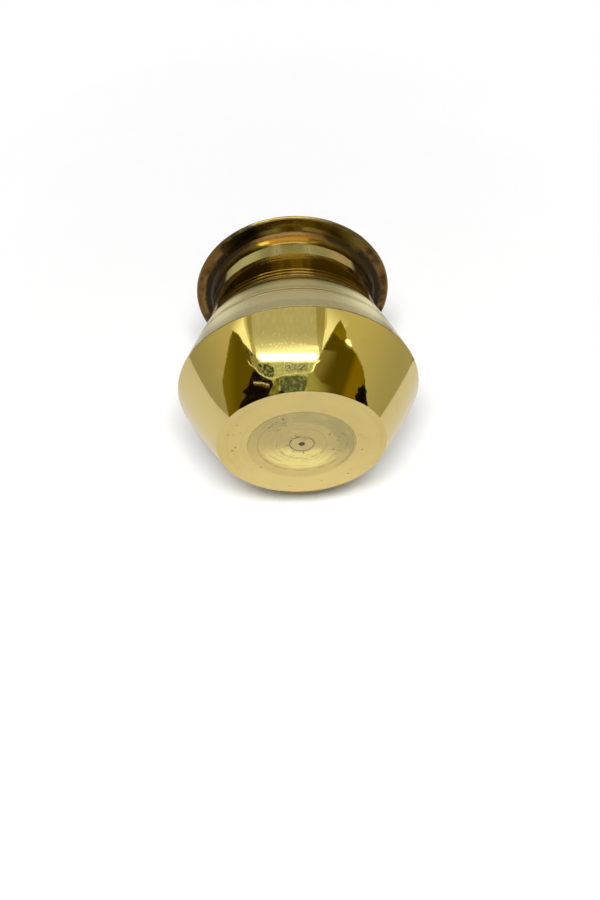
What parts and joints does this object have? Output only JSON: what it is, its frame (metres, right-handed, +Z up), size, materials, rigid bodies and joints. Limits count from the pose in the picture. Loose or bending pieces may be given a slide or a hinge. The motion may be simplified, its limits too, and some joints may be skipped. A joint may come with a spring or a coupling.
{
  "type": "kalash",
  "caption": "Small turned brass ritual water pot with a crisp cone-shaped base, steep shoulder, drawn-in neck and broad flat rim; brazed up from separate pieces.",
  "frame": {"origin": "centre of the foot, on the plane that the pot stands on", "axes": "+Z up the axis of turning, from the foot to the mouth"},
  "size_m": [0.0744, 0.0744, 0.0649],
  "materials": {
    "polished_brass": "mirror polished, fine turning marks",
    "satin_brass": "satin turned with fine engraved lines",
    "aged_brass": "polished with brown ageing",
    "tarnished_brass": "brown and copper tarnish under the rim",
    "braze": "filed flush spelter",
    "copper_braze": "copper coloured spelter bead",
    "pale_brass": "turned, satin, with a turning centre",
    "dull_braze": "ragged dull spelter"
  },
  "bodies": {
    "root": {"lower_bowl": "polished_brass", "shoulder_shell": "satin_brass", "neck_collar": "aged_brass", "mouth_rim": "tarnished_brass", "belly_braze_ring": "braze", "neck_braze_ring": "braze", "rim_braze_ring": "copper_braze", "centre_plug": "pale_brass", "plug_braze_ring": "dull_braze"}
  },
  "joints": []
}
